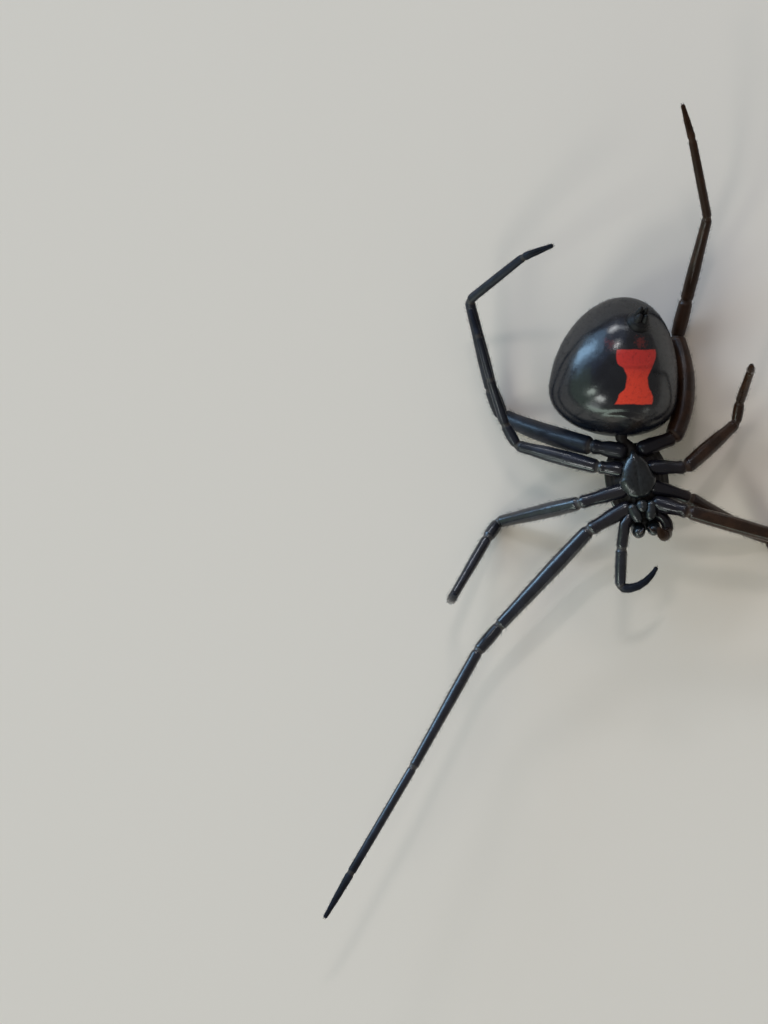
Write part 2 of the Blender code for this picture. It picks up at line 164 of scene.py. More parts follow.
LEGS = {
    "leg_l1": ((-1.46, -9.34, 4.5), (7.87, -133.0, 3.6), (1.98, -130.7, 3.9), (7.98, -119.3, 5.0),
               (7.32, -120.6, 5.5), (3.12, -120.0, 5.3)),
    "leg_l2": ((-2.06, -7.72, 4.35), (4.90, -166.6, 0.34), (1.18, -125.7, 0.95), (4.36, -120.6, 2.9),
               (0.30, 66.0, 7.6), (0.23, 66.8, 9.6)),
    "leg_l3": ((-0.92, -5.56, 4.45), (5.02, 165.1, 3.4), (1.45, 119.7, 3.6), (2.85, 108.4, 4.6),
               (2.68, 105.6, 5.4), (1.69, 106.5, 5.3)),
    "leg_l4": ((-1.34, -4.30, 4.25), (5.60, 160.9, 0.42), (1.78, 111.8, 1.1), (5.45, 104.3, 3.6),
               (4.08, 38.1, 6.3), (1.86, 20.8, 7.3)),
    "leg_r4": ((3.62, -3.82, 3.6), (6.13, 86.9, 0.42), (2.28, 76.3, 1.1), (5.06, 76.3, 3.3),
               (4.67, 102.6, 6.1), (2.18, 105.9, 6.5)),
    "leg_r3": ((4.36, -5.59, 4.4), (4.08, 40.8, 2.2), (1.31, 80.8, 2.5), (1.92, 72.7, 4.6),
               (0.13, 135.0, 7.4), (0.16, 111.8, 9.0)),
    "leg_r2": ((4.61, -7.44, 3.9), (5.46, -26.4, 0.34), (1.28, -57.4, 0.95), (4.49, -60.4, 2.9),
               (2.52, -64.7, 6.8), (1.33, -71.6, 8.4)),
    "leg_r1": ((4.50, -8.25, 5.15), (7.89, -15.6, 3.6), (1.93, -36.2, 3.9), (7.86, -47.8, 5.0),
               (7.27, -62.0, 5.4), (3.10, -68.4, 5.2)),
}
LEG_PIECES = ("coxa", "femur", "patella", "tibia", "metatarsus", "tarsus")
FEMUR_BOW = {"leg_l4": 0.18, "leg_r4": 0.72, "leg_r2": 0.22}


def in_prosoma(forward, side, height):
    turn = radians(HEAD_TURN)
    ahead, left = Vector((sin(turn), -cos(turn), 0)), Vector((-cos(turn), -sin(turn), 0))
    return PROSOMA + ahead * forward + left * side + Vector((0, 0, height))


def onward(point, reach, heading, height):
    turn = radians(heading)
    return Vector((point.x + reach * cos(turn), point.y + reach * sin(turn), height))


print("legs:", ", ".join(LEGS))

# %% [markdown]
# ## One cuticle for every finish
# A spider's shell is a hard varnish over dark pigment. Close up it has a fine grain and a broader, softer
# unevenness that breaks up each reflection. Every finish needs that, so it is made once as a group of shader
# nodes. It hands out a normal and a soft cloud mask, and each material brings its own grain size and depth.

# %% The cuticle group
GRAIN_BUMP, SWELL_BUMP = 0.000004, 0.00002


def fill(tree, node, inputs):
    """Sets inputs by name or number, each to a value or to another node's socket."""
    for label, value in inputs.items():
        if isinstance(value, bpy.types.NodeSocket):
            tree.links.new(value, node.inputs[label])
        else:
            node.inputs[label].default_value = value
    return node


def add(tree, kind, inputs):
    return fill(tree, tree.nodes.new(kind), inputs)


def math(tree, operation, *values):
    made = add(tree, "ShaderNodeMath", dict(enumerate(values)))
    made.operation = operation
    return made.outputs[0]


def ramp(tree, value, low, high, to_low=0.0, to_high=1.0):
    made = add(tree, "ShaderNodeMapRange", {0: value, 1: low, 2: high, 3: to_low, 4: to_high})
    made.interpolation_type = "SMOOTHSTEP"
    return made.outputs[0]


def blend_colours(tree, share, first, second):
    made = tree.nodes.new("ShaderNodeMix")
    made.data_type = "RGBA"
    return fill(tree, made, {0: share, 6: first, 7: second}).outputs[2]


def noise(tree, where, scale, detail=2.0):
    return add(tree, "ShaderNodeTexNoise", {"Vector": where, "Scale": scale, "Detail": detail}).outputs["Fac"]


def in_millimetres(tree):
    place = tree.nodes.new("ShaderNodeTexCoord").outputs["Object"]
    scaled = add(tree, "ShaderNodeVectorMath", {0: place, 1: (1000, 1000, 1000)})
    scaled.operation = "MULTIPLY"
    return scaled.outputs[0]


def attribute(tree, name):
    made = tree.nodes.new("ShaderNodeAttribute")
    made.attribute_name = name
    return made.outputs["Fac"]


cuticle = bpy.data.node_groups.new("cuticle", "ShaderNodeTree")
for label, default in (("Grain", 30.0), ("Depth", 0.5)):
    cuticle.interface.new_socket(label, in_out="INPUT", socket_type="NodeSocketFloat").default_value = default
cuticle.interface.new_socket("Normal", in_out="OUTPUT", socket_type="NodeSocketVector")
cuticle.interface.new_socket("Cloud", in_out="OUTPUT", socket_type="NodeSocketFloat")
given = cuticle.nodes.new("NodeGroupInput").outputs
out = cuticle.nodes.new("NodeGroupOutput")
in_mm = in_millimetres(cuticle)
grain = noise(cuticle, in_mm, given["Grain"], 3.0)
cloud = noise(cuticle, in_mm, 1.1, 3.0)
swell = noise(cuticle, in_mm, 2.6)
soft = add(cuticle, "ShaderNodeBump", {"Strength": given["Depth"], "Distance": SWELL_BUMP, "Height": swell})
fine = add(cuticle, "ShaderNodeBump", {"Strength": given["Depth"], "Distance": GRAIN_BUMP, "Height": grain,
                                       "Normal": soft.outputs[0]})
fill(cuticle, out, {"Normal": fine.outputs[0], "Cloud": cloud})
print("cuticle group:", len(cuticle.nodes), "nodes")

# %% [markdown]
# ## Finishes
# The legs and palps are a black satin, less glossy on the spider's right, with paler, duller joint skin where
# two pieces meet. Their colour holds painted reflection: a bluish tint on the spider's left for blue light,
# and a
# brown tint on its right for the brown ground reflected there. They carry three numbers on every point:
# `joint` is 1 at a joint and 0 away from it, `matt` grows towards the downy tip, and `outer` is 0 at the hip,
# where all are black, and 1 from the femur on. The finish mixes by all three. Claws and fangs are a plain
# dark brown and the bristles dark, with the same painted brown reflection on the bristles of the right legs.

# %% Plain finishes and the leg finish
HIP_TONE = (0.009, 0.008, 0.012, 1)


def new_finish(name, colour, roughness, grain=30.0, depth=0.5, coat=0.0, coat_roughness=0.1, specular=0.5):
    made = bpy.data.materials.new(name)
    made.use_nodes = True
    tree = made.node_tree
    shader = tree.nodes["Principled BSDF"]
    skin = tree.nodes.new("ShaderNodeGroup")
    skin.node_tree = cuticle
    fill(tree, skin, {"Grain": grain, "Depth": depth})
    fill(tree, shader, {"Normal": skin.outputs["Normal"], "Base Color": (*colour, 1), "Roughness": roughness,
                        "Specular IOR Level": specular, "Coat Weight": coat,
                        "Coat Roughness": coat_roughness})
    return made, tree, shader, skin


def new_leg_finish(name, colour, joint_colour, gloss):
    """gloss, from 0 to 1, is how strongly the bare shell mirrors its surroundings."""
    made, tree, shader, skin = new_finish(name, colour, 0.3, grain=22.0, depth=0.6)
    joint, matt, outer = (attribute(tree, label) for label in ("joint", "matt", "outer"))
    paler = tuple(c * 1.7 for c in colour)
    base = blend_colours(tree, ramp(tree, skin.outputs["Cloud"], 0.42, 0.62), (*colour, 1), (*paler, 1))
    base = blend_colours(tree, outer, HIP_TONE, base)
    duller = math(tree, "MAXIMUM", math(tree, "MULTIPLY", joint, 0.7), matt)
    fill(tree, shader, {"Base Color": blend_colours(tree, joint, base, (*joint_colour, 1)),
                        "Roughness": ramp(tree, duller, 0.0, 1.0, 0.24, 0.62),
                        "Coat Weight": ramp(tree, matt, 0.0, 1.0, 0.45 * gloss, 0.0),
                        "Specular IOR Level": ramp(tree, matt, 0.0, 1.0, 0.5 * gloss, 0.08)})
    return made


# painted reflection: the left limbs' bluish base and joint colours stand in for blue light, the right limbs'
# brown ones for brown ground reflected there
leg_left_painted_blue = new_leg_finish("leg_black_painted_blue_reflection", (0.009, 0.010, 0.016), (0.042, 0.036, 0.036), 1.0)
leg_right_painted_brown = new_leg_finish("leg_black_painted_brown_reflection", (0.024, 0.010, 0.005), (0.040, 0.020, 0.012), 0.55)
shell_black = new_finish("shell_black", (0.008, 0.010, 0.012), 0.3, grain=16.0, depth=1.0, coat=0.4)[0]
eye_black = new_finish("eye_black", (0.006, 0.007, 0.01), 0.06, depth=0.0, coat=1.0, coat_roughness=0.03)[0]
joint_skin = new_finish("joint_skin", (0.012, 0.009, 0.009), 0.55, grain=26.0, depth=1.0, specular=0.2)[0]
matt_black = new_finish("matt_black", (0.008, 0.007, 0.008), 0.5, grain=26.0, depth=1.0, specular=0.25)[0]
claw_brown = new_finish("claw_brown", (0.022, 0.009, 0.007), 0.26, depth=0.1, coat=0.3)[0]
bristle_dark = new_finish("bristle_dark", (0.010, 0.008, 0.008), 0.5, depth=0.0, specular=0.2)[0]
# painted reflection: the right legs' bristles are tinted brown for the brown ground reflected there
bristle_painted_brown_reflection = new_finish("bristle_painted_brown_reflection", (0.034, 0.013, 0.005), 0.5, depth=0.0, specular=0.15)[0]
print("finishes:", [m.name for m in bpy.data.materials][-9:])

# %% [markdown]
# ## The hourglass
# The abdomen is the glossiest black on the animal, with the red hourglass on its belly. It is a flat
# pigment under the varnish, so it belongs in the finish and not in the mesh. Two curves say how far out its
# left and right edges lie at every height of the mark, in the abdomen's own millimetres, and the mask is how
# far inside all four edges a place is. A little noise frays them. Two faint red smears lie beyond the mark.
# The flanks are downier than the belly, so the gloss fades there.

# %% The abdomen's finish
HOURGLASS_LOW, HOURGLASS_HIGH, EDGE_FROM, EDGE_REACH = -1.83, 1.42, -0.3, 3.0
LEFT_EDGE = ((-1.83, 0.0), (-1.48, 0.18), (-1.3, 0.25), (-1.12, 0.38), (-0.94, 0.56), (-0.58, 0.66),
             (-0.22, 0.72), (0.14, 0.60), (0.34, 0.48), (0.5, 0.26), (0.68, 0.15), (1.04, 0.10), (1.42, 0.13))
RIGHT_EDGE = ((-1.83, 2.21), (-1.48, 2.29), (-1.12, 2.19), (-0.8, 2.02), (-0.5, 1.97), (-0.2, 1.98),
              (0.14, 2.12), (0.5, 2.26), (0.86, 2.43), (1.04, 2.48), (1.42, 2.42))
HOURGLASS_DEEP, HOURGLASS_BRIGHT = (0.60, 0.030, 0.024, 1), (0.84, 0.055, 0.026, 1)
HOURGLASS_FLECK, SMEAR_RED = (0.30, 0.012, 0.012, 1), (0.22, 0.02, 0.016, 1)
ABDOMEN_TONE, LUNG_TONE = (0.004, 0.005, 0.009), (0.022, 0.016, 0.014, 1)
SMEARS = ((1.54, 1.86, 0.48, 0.5), (-0.3, 1.76, 0.5, 0.3))  # across, along, radius in millimetres, strength
GLOSS = {"Specular IOR Level": (0.05, 0.5), "Coat Weight": (0.0, 0.35)}  # on the flanks and on the belly


def edge_curve(tree, height, edge):
    """How far to +X an edge of the mark lies at this height, both in millimetres."""
    share = ramp(tree, height, HOURGLASS_LOW, HOURGLASS_HIGH)
    share.node.interpolation_type = "LINEAR"
    curve = add(tree, "ShaderNodeFloatCurve", {"Value": share})
    points = curve.mapping.curves[0].points
    places = [((h - HOURGLASS_LOW) / (HOURGLASS_HIGH - HOURGLASS_LOW), (x - EDGE_FROM) / EDGE_REACH)
              for h, x in edge]
    points[0].location, points[1].location = places[0], places[-1]
    for at, value in places[1:-1]:
        points.new(at, value)
    curve.mapping.update()
    return math(tree, "ADD", math(tree, "MULTIPLY", curve.outputs[0], EDGE_REACH), EDGE_FROM)


def swing(tree, where, scale, detail, reach):
    """A noise that swings to both sides of zero."""
    return math(tree, "MULTIPLY", math(tree, "SUBTRACT", noise(tree, where, scale, detail), 0.5), reach)


abdomen_black, tree, shader, skin = new_finish("abdomen_black", ABDOMEN_TONE, 0.24, grain=9.0, depth=0.5,
                                                coat_roughness=0.13)
in_mm = in_millimetres(tree)
axes = add(tree, "ShaderNodeSeparateXYZ", {0: in_mm}).outputs
fray = swing(tree, in_mm, 2.0, 3.0, 0.16)
across = math(tree, "ADD", axes[0], fray)
height = math(tree, "ADD", axes[1], fray)
inside = math(tree, "SUBTRACT", across, edge_curve(tree, axes[1], LEFT_EDGE))
for nearer in (math(tree, "SUBTRACT", edge_curve(tree, axes[1], RIGHT_EDGE), across),
               math(tree, "SUBTRACT", HOURGLASS_HIGH, height), math(tree, "SUBTRACT", height, HOURGLASS_LOW)):
    inside = math(tree, "MINIMUM", inside, nearer)
upper_side = ramp(tree, axes[2], 4.5, 5.0)
mask = math(tree, "MULTIPLY", ramp(tree, inside, -0.05, 0.05), upper_side)
red = blend_colours(tree, ramp(tree, axes[1], -0.6, 0.9), HOURGLASS_BRIGHT, HOURGLASS_DEEP)
line = ramp(tree, math(tree, "ABSOLUTE", math(tree, "SUBTRACT", height, 0.36)), 0.02, 0.2, 0.35, 0.0)
mottle = math(tree, "MULTIPLY", ramp(tree, noise(tree, in_mm, 3.2, 3.0), 0.5, 0.75), 0.3)
red = blend_colours(tree, math(tree, "MAXIMUM", line, mottle), red, HOURGLASS_FLECK)
body = blend_colours(tree, attribute(tree, "plate"), (*ABDOMEN_TONE, 1), LUNG_TONE)
smear = swing(tree, in_mm, 6.5, 4.0, 2.4)
for x, y, size, strength in SMEARS:
    off = math(tree, "ADD", math(tree, "POWER", math(tree, "SUBTRACT", across, x), 2.0),
               math(tree, "POWER", math(tree, "SUBTRACT", height, y), 2.0))
    off = math(tree, "ADD", math(tree, "SQRT", off), math(tree, "MULTIPLY", smear, size))
    spot = math(tree, "MULTIPLY", ramp(tree, off, 0.0, size, strength, 0.0), upper_side)
    body = blend_colours(tree, spot, body, SMEAR_RED)
fill(tree, shader, {"Base Color": blend_colours(tree, mask, body, red),
                    "Roughness": ramp(tree, skin.outputs["Cloud"], 0.35, 0.7, 0.19, 0.30)})
fill(tree, shader, {label: ramp(tree, axes[2], 4.6, 6.7, *ends) for label, ends in GLOSS.items()})
print("hourglass", round(HOURGLASS_HIGH - HOURGLASS_LOW, 2), "mm long")

# %% [markdown]
# ## The abdomen
# It is a globe that narrows to the spinnerets, and it sits on a small flat of its back. Every point of a
# sphere is moved to where the solid's own rule puts it, and relief is added that a naturalist would look
# for: the furrow across the belly's front, the two smooth covers of the book lungs with the swelling between
# them, and pairs of muscle dimples on the back.

# %% Shape the abdomen
def along_abdomen(distance, side, height):
    turn = radians(AXIS_TURN)
    return Vector((sin(turn) * distance + cos(turn) * side, cos(turn) * distance - sin(turn) * side, height))


def abdomen_share(distance, peak, rear_power, front_power):
    if distance > peak:
        return max(1 - ((distance - peak) / (ABDOMEN_REAR - peak)) ** rear_power, 0) ** 0.5
    return max(1 - ((peak - distance) / (ABDOMEN_FRONT + peak)) ** front_power, 0) ** 0.5


def abdomen_point(distance, turn, lift=0.0):
    wide = ABDOMEN_HALF_WIDTH * abdomen_share(distance, ABDOMEN_WIDEST, 1.95, 2.3) + lift
    rise = BELLY_RISE if sin(turn) > 0 else BACK_DEPTH
    tall = rise * abdomen_share(distance, 0.0, 2.1, 2.4) + lift
    sway = ABDOMEN_SHIFT + ABDOMEN_SWAY * (max(distance, 0) / ABDOMEN_REAR) ** 2
    return along_abdomen(distance, sway + wide * cos(turn), BACK_DEPTH - SINK + tall * sin(turn))


def bell(x, width):
    return exp(-(x / width) ** 2)


BELLY_TURN = radians(90 - BELLY_ROLL)
LUNGS, DIMPLES = ((-2.72, 1.02), (-2.72, -1.02)), ((-1.7, 0.75), (-0.3, 0.9), (1.1, 0.75), (2.2, 0.5))


def from_midline(turn, middle):
    return atan2(sin(turn - middle), cos(turn - middle)) * ABDOMEN_HALF_WIDTH


def abdomen_relief(distance, turn):
    """How far out the surface lies here, and how much of a book lung cover it is."""
    side, back = from_midline(turn, BELLY_TURN), from_midline(turn, BELLY_TURN + pi)
    furrow = -0.07 * bell(distance + 2.2 + 0.10 * side ** 2, 0.1) * bell(side, 1.9)
    swelling = 0.11 * bell(distance + 2.45, 0.22) * bell(side, 0.34)
    slit = -0.08 * bell(distance + 2.32, 0.05) * bell(side, 0.16)
    lung = sum(bell(hypot((distance - d) / 0.5, (side - s) / 0.62), 1.0) for d, s in LUNGS)
    dimple = sum(bell(distance - d, 0.13) * bell(abs(back) - s, 0.13) for d, s in DIMPLES)
    rear_folds = 0.012 * cos(distance * 26) * bell(distance - 3.1, 0.5) * bell(side, 1.6)
    return furrow + swelling + slit + 0.05 * min(lung, 0.8) - 0.07 * dimple + rear_folds, min(lung, 1.0)


plate_values = []


def to_abdomen(co):
    distance = -ABDOMEN_FRONT + (ABDOMEN_FRONT + ABDOMEN_REAR) * (1 + co.z) / 2
    turn = atan2(co.y, co.x)
    lift, cover = abdomen_relief(distance, turn)
    plate_values.append(cover)
    point = abdomen_point(distance, turn, lift * sqrt(max(1 - co.z ** 2, 0)))
    point.z = max(point.z, 0)
    return point


abdomen = shaped_sphere(144, 110, to_abdomen)
store(abdomen, "plate", plate_values)
finish_piece(abdomen, "abdomen_skin", abdomen_black, "gloss_black", "abdomen")

# %% [markdown]
# ## A limb is turned on a lathe, then bent
# Legs, palps and the waist are all the same problem: a limb with a thickness of its own all along it, and
# bends. As by hand, the outline of the straight limb is drawn once and spun round its axis. A Curve modifier
# then bends it along its path. The path's corners are rounded a little, so each knee is one surface without
# a seam. While the limb is still straight, it gets an unwrap for the bristles: how far along in one
# direction, how far round in the other.

# %% Path, lathe and bend
CORNER, CORNER_STEPS, LIMB_SIDES, ROOT_DOME = 0.42, 8, 20, 0.3


def run_along(points):
    """How far along the path each of its points comes."""
    run = [0.0]
    for one, two in zip(points, points[1:]):
        run.append(run[-1] + (two - one).length)
    return run


def bowed(start, end, bow, shares):
    """Points from start to end that stand off sideways, by all of the bow half way."""
    return [start.lerp(end, t) + bow * 4 * t * (1 - t) for t in shares]


def rounded_path(corners):
    """The limb's path with rounded corners, and how far along it each corner comes."""
    points, marks = [corners[0].copy()], [0]
    for before, at, after in zip(corners, corners[1:], corners[2:]):
        back = (before - at).normalized() * min(CORNER, (before - at).length * 0.45)
        on = (after - at).normalized() * min(CORNER, (after - at).length * 0.45)
        for step in range(CORNER_STEPS + 1):
            share = step / CORNER_STEPS
            points.append(at + back * (1 - share) ** 2 + on * share ** 2)
            if 2 * step == CORNER_STEPS:
                marks.append(len(points) - 1)
    points.append(corners[-1].copy())
    marks.append(len(points) - 1)
    run = run_along(points)
    return points, run, [run[mark] for mark in marks]


def at_run(points, run, distance):
    """The path's direction this far along it."""
    for k in range(len(run) - 1):
        if run[k + 1] >= distance:
            return (points[k + 1] - points[k]).normalized()
    return (points[-1] - points[-2]).normalized()


def spun_limb(outline, sides=LIMB_SIDES):
    """A closed limb along +X from its outline of (distance, radius)."""
    mesh = bpy.data.meshes.new("limb")
    mesh.from_pydata([(x, 0, r) for x, r in outline], [(k, k + 1) for k in range(len(outline) - 1)], [])
    limb = linked("limb", mesh)
    select_only(limb)
    bpy.ops.object.mode_set(mode="EDIT")
    bpy.ops.mesh.select_all(action="SELECT")
    bpy.ops.mesh.spin(steps=sides, angle=2 * pi, center=(0, 0, 0), axis=(1, 0, 0))
    bpy.ops.mesh.select_all(action="SELECT")
    bpy.ops.mesh.remove_doubles(threshold=0.0005)
    bpy.ops.mesh.normals_make_consistent(inside=False)
    bpy.ops.object.mode_set(mode="OBJECT")
    return limb


def unwrap_limb(limb, length):
    """Distance along and turn round, before the limb is bent."""
    unwrap = limb.data.uv_layers.new(name="unwrap")
    for face in limb.data.polygons:
        middle = atan2(face.center.y, face.center.z)
        for loop in face.loop_indices:
            co = limb.data.vertices[limb.data.loops[loop].vertex_index].co
            turn = atan2(co.y, co.z) if hypot(co.y, co.z) > 1e-4 else middle
            turn += 2 * pi * round((middle - turn) / (2 * pi))
            unwrap.data[loop].uv = (co.x / length, (turn + pi) / (2 * pi))


def bent(limb, points):
    drawn = bpy.data.curves.new("path", "CURVE")
    drawn.dimensions = "3D"
    spline = drawn.splines.new("POLY")
    spline.points.add(len(points) - 1)
    for made, point in zip(spline.points, points):
        made.co = (*point, 1)
    path = linked("path", drawn)
    bend = limb.modifiers.new("bend", "CURVE")
    bend.object, bend.deform_axis = path, "POS_X"
    select_only(limb)
    bpy.ops.object.modifier_apply(modifier=bend.name)
    bpy.data.objects.remove(path)
    return limb


def smooth_between(places, at):
    """The value between two places of a list of (place, value), eased."""
    for (a, first), (b, second) in zip(places, places[1:]):
        if at <= b:
            share = (at - a) / (b - a) if b > a else 0
            share = share * share * (3 - 2 * share)
            return first + (second - first) * share
    return places[-1][1]


print("limb sides:", LIMB_SIDES)

# %% [markdown]
# ## The legs
# Each leg is one limb of six lengths: coxa, femur, patella, tibia, metatarsus and tarsus. Beside each joint
# the hard shell flares into a rim, and between two rims the soft joint skin dips in. The three numbers that
# the leg finish reads are stored here. The spider's left legs get the black with the painted blue reflection
# and the right ones the black with the painted brown reflection, and a few legs are downier than the others.

# %% Make the eight legs
RIM = ((0.0, 0.85), (0.07, 0.87), (0.13, 0.96), (0.2, 1.015), (0.32, 1.01), (0.5, 1.0))


def scaled(size, profile):
    return tuple((at, size * share) for at, share in profile)


def leg_profile(pair):
    coxa, femur_root, femur_end, patella, tibia_root, tibia_end, meta_root, meta_end, tip = THICK[pair]
    return (
        scaled(coxa, ((0, 0.86), (0.2, 1), (0.45, 1.03), (0.64, 0.9), (0.70, 0.74), (0.77, 0.86), (0.9, 0.9),
                      (1, 0.84))),
        scaled(femur_root, ((0, 0.9), (0.12, 0.98), (0.34, 1.03), (0.62, 0.95)))
        + scaled(femur_end, ((0.85, 1), (1, 0.96))),
        scaled(patella, ((0, 0.95), (0.5, 1.04), (1, 0.95))),
        ((0, tibia_root), (0.3, tibia_root * 1.03), (0.72, (tibia_root + tibia_end) * 0.49), (1, tibia_end)),
        ((0, meta_root), (0.4, meta_root * 0.98), (1, meta_end)),
        ((0, meta_end), (0.5, meta_end * 0.62 + tip * 0.4), (0.85, tip * 1.15), (1, tip)),
    )


def limb_outline(joints, profiles):
    """The straight limb's outline, with a rim and a dip at every joint, and the joint number along it."""
    outline, soft = [(joints[0], 0.0)], [0.0]
    for number, profile in enumerate(profiles):
        start, end = joints[number], joints[number + 1]
        length = end - start
        near = [d for d in (0.0, 0.05, 0.09, 0.13, 0.17, 0.22, 0.3, 0.42, 0.6) if d < length / 2]
        count = max(2, round((length - 2 * near[-1]) / 0.45))
        middle = [near[-1] + (length - 2 * near[-1]) * k / count for k in range(1, count)]
        stations = near + middle + [length - d for d in reversed(near)]
        first, last = number == 0, number == len(profiles) - 1
        if last:
            stations = [place for place in stations if place < length - 0.1]
        for place in stations if first else stations[1:]:
            off = min(9 if first else place, 9 if last else length - place)
            radius = smooth_between(profile, place / length) * smooth_between(RIM, off)
            if first:
                radius *= sqrt(1 - (1 - min((place + 0.004) / ROOT_DOME, 1)) ** 2)
            outline.append((start + place, radius))
            soft.append(1 - smooth_between(((0.0, 0.0), (0.07, 0.05), (0.16, 1.0)), off))
    radius = outline[-1][1]
    for back, share in ((0.10, 1.0), (0.055, 0.93), (0.025, 0.7), (0.006, 0.35), (0.0, 0.0)):
        outline.append((joints[-1] - back, radius * share))
        soft.append(0.0)
    return outline, soft


limbs = {}
DOWNIER = {"leg_l3": (0.0, 0.5), "leg_l4": (0.62, 0.55), "leg_r4": (0.3, 0.4)}  # matt on femur, on tibia


def dress_limb(name, corners, joint_corners, profiles, nodes):
    points, run, marks = rounded_path(corners)
    joints = [marks[k] for k in joint_corners]
    outline, soft = limb_outline(joints, profiles)
    limb = spun_limb(outline)
    unwrap_limb(limb, run[-1])
    along = [point.co.x for point in limb.data.vertices]
    on_femur, on_tibia = DOWNIER.get(name, (0.0, 0.0))
    numbers = {
        "joint": sorted({(round(x, 5), s) for (x, r), s in zip(outline, soft)}),
        "matt": ((0, on_femur), (joints[1], on_femur), (joints[2], on_tibia), (joints[-3], on_tibia),
                 (joints[-2], 0.75), (run[-1], 1.0)),
        "outer": ((0, 0), (joints[1] * 0.6, 0), (joints[1] + 1.2, 1), (run[-1], 1)),
    }
    for label, values in numbers.items():
        store(limb, label, [smooth_between(values, x) for x in along])
    bent(limb, points)
    # left limbs take the finish with painted blue reflection, right limbs the one with painted brown
    # reflection
    finish_piece(limb, name + "_skin", leg_left_painted_blue if "_l" in name else leg_right_painted_brown, "leg_black", *nodes)
    limbs[name] = (limb, points, run, joints)


for name, row in LEGS.items():
    pair, side = name[-1], 1 if "_l" in name else -1
    corners = [in_prosoma(COXA_FORWARD[pair], COXA_ROOT[pair] * side, COXA_HEIGHT), Vector(row[0])]
    for reach, heading, height in row[1:]:
        corners.append(onward(corners[-1], reach, heading, height))
    joint_corners = list(range(7))
    if name in FEMUR_BOW:
        start, end = corners[1], corners[2]
        ahead = (end - start).normalized()
        out = Vector((ahead.y, -ahead.x, 0)) * (FEMUR_BOW[name] * -side)
        bows = bowed(start, end, out, (0.2, 0.4, 0.6, 0.8))
        corners = corners[:2] + bows + corners[2:]
        joint_corners = [0, 1] + [k + len(bows) for k in range(2, 7)]
    dress_limb(name, corners, joint_corners, leg_profile(pair), [f"{name}_{piece}" for piece in LEG_PIECES])

# %% [markdown]
# ## The palps and the waist
# The palps are two short feelers beside the jaws. The left one reaches past the head and hooks round to the
# right; the right one stays folded. The waist is a short stalk between the body's two halves. They are limbs
# too, with fewer joints.

# %% Make the palps and the waist
PALP_HALF = 0.35
PALPS = {
    "palp_l": (in_prosoma(1.9, 0.45, 4.5), (0.69, -8.77, 4.75), (1.69, -97.1, 4.5), (2.19, -91.9, 4.2),
               (2.61, 31.9, 4.3, -0.42)),
    "palp_r": (in_prosoma(1.9, -0.5, 4.25), (3.20, -8.75, 4.45), (0.73, -84.0, 4.45), (0.38, -144.0, 5.3),
               (0.56, 110.3, 6.2, 0.0)),
}
palp_profiles = (
    scaled(PALP_HALF, ((0, 0.7), (0.3, 1), (1, 1))),
    scaled(PALP_HALF, ((0, 1), (0.6, 1.04), (1, 0.92))),
    scaled(PALP_HALF, ((0, 0.84), (0.2, 0.78), (0.6, 0.62), (1, 0.36))),
)
for name, (root, base, femur, shank, tarsus) in PALPS.items():
    corners = [root, Vector(base)]
    corners.append(onward(corners[-1], *femur))
    corners.append(onward(corners[-1], *shank))
    reach, heading, height, bow = tarsus
    start = corners[-1] + (corners[-1] - corners[-2]).normalized() * 0.3
    end = onward(start, reach, heading, height)
    ahead = (end - start).normalized()
    out = Vector((-ahead.y, ahead.x, 0)) * bow
    corners[-1] = corners[-1].lerp(start, 0.5)
    corners += bowed(start, end, out, (0.25, 0.5, 0.75) if bow else ()) + [end]
    joint_corners = [0, 2, 3, len(corners) - 1]
    dress_limb(name, corners, joint_corners, palp_profiles, [name, name + "_tarsus"])

waist = [in_prosoma(-1.4, 0, 4.3), in_prosoma(-2.0, 0.12, 4.32),
         along_abdomen(-ABDOMEN_FRONT - 0.15, 1.0, 4.42), along_abdomen(-ABDOMEN_FRONT + 0.5, 0.95, 4.45)]
points, run, marks = rounded_path(waist)
rings = [(run[-1] * k / 24, 0.30 + 0.13 * abs(2 * k / 24 - 1) + 0.015 * cos(k * 2.2)) for k in range(25)]
pedicel = bent(spun_limb([(0.0, 0.0)] + rings + [(run[-1], 0.0)]), points)
finish_piece(pedicel, "waist_skin", joint_skin, "joint_brown", "pedicel")

# %% [markdown]
# ## The back shield and the belly shield
# The front half of the body is closed by two plates. The carapace covers the back: a low dome, higher at
# the head, with a pit in its middle where the stomach muscle holds on and shallow grooves that run from it
# towards each leg. The sternum covers the belly, pointed behind. Each starts as a sphere and is shaped by
# the solid's rule. Between the plates lies soft joint skin, from which the legs leave.

# %% Shape the plates
def oval(turn, forward, rear, half_width, neck, blunt=0.82):
    along, across = cos(turn), sin(turn)
    reach = abs(along) ** blunt * (forward if along > 0 else -rear)
    narrow = 1 - neck * max(along, 0) ** 1.5
    return reach, abs(across) ** blunt * half_width * narrow * (1 if across > 0 else -1)


def dome_outline(share):
    return CARAPACE_FRONT * (0.3 + 0.7 * share), CARAPACE_REAR * share, CARAPACE_HALF_WIDTH * share


def dome_height(share, turn):
    reach, side = oval(turn, *dome_outline(share), CARAPACE_NECK)
    ahead = min(max(reach / HEAD_START, 0), 1)
    head = HEAD_BULGE * ahead ** 2 * (3 - 2 * ahead) * bell(side, HEAD_SIDE) * (1 - share ** 3)
    return RIM_HEIGHT - (RIM_HEIGHT - CARAPACE_TOP) * (1 - share ** 2.6) ** 0.75 - head


def on_dome(share, turn):
    reach, side = oval(turn, *dome_outline(share), CARAPACE_NECK)
    return in_prosoma(reach, side, dome_height(share, turn)), reach, side


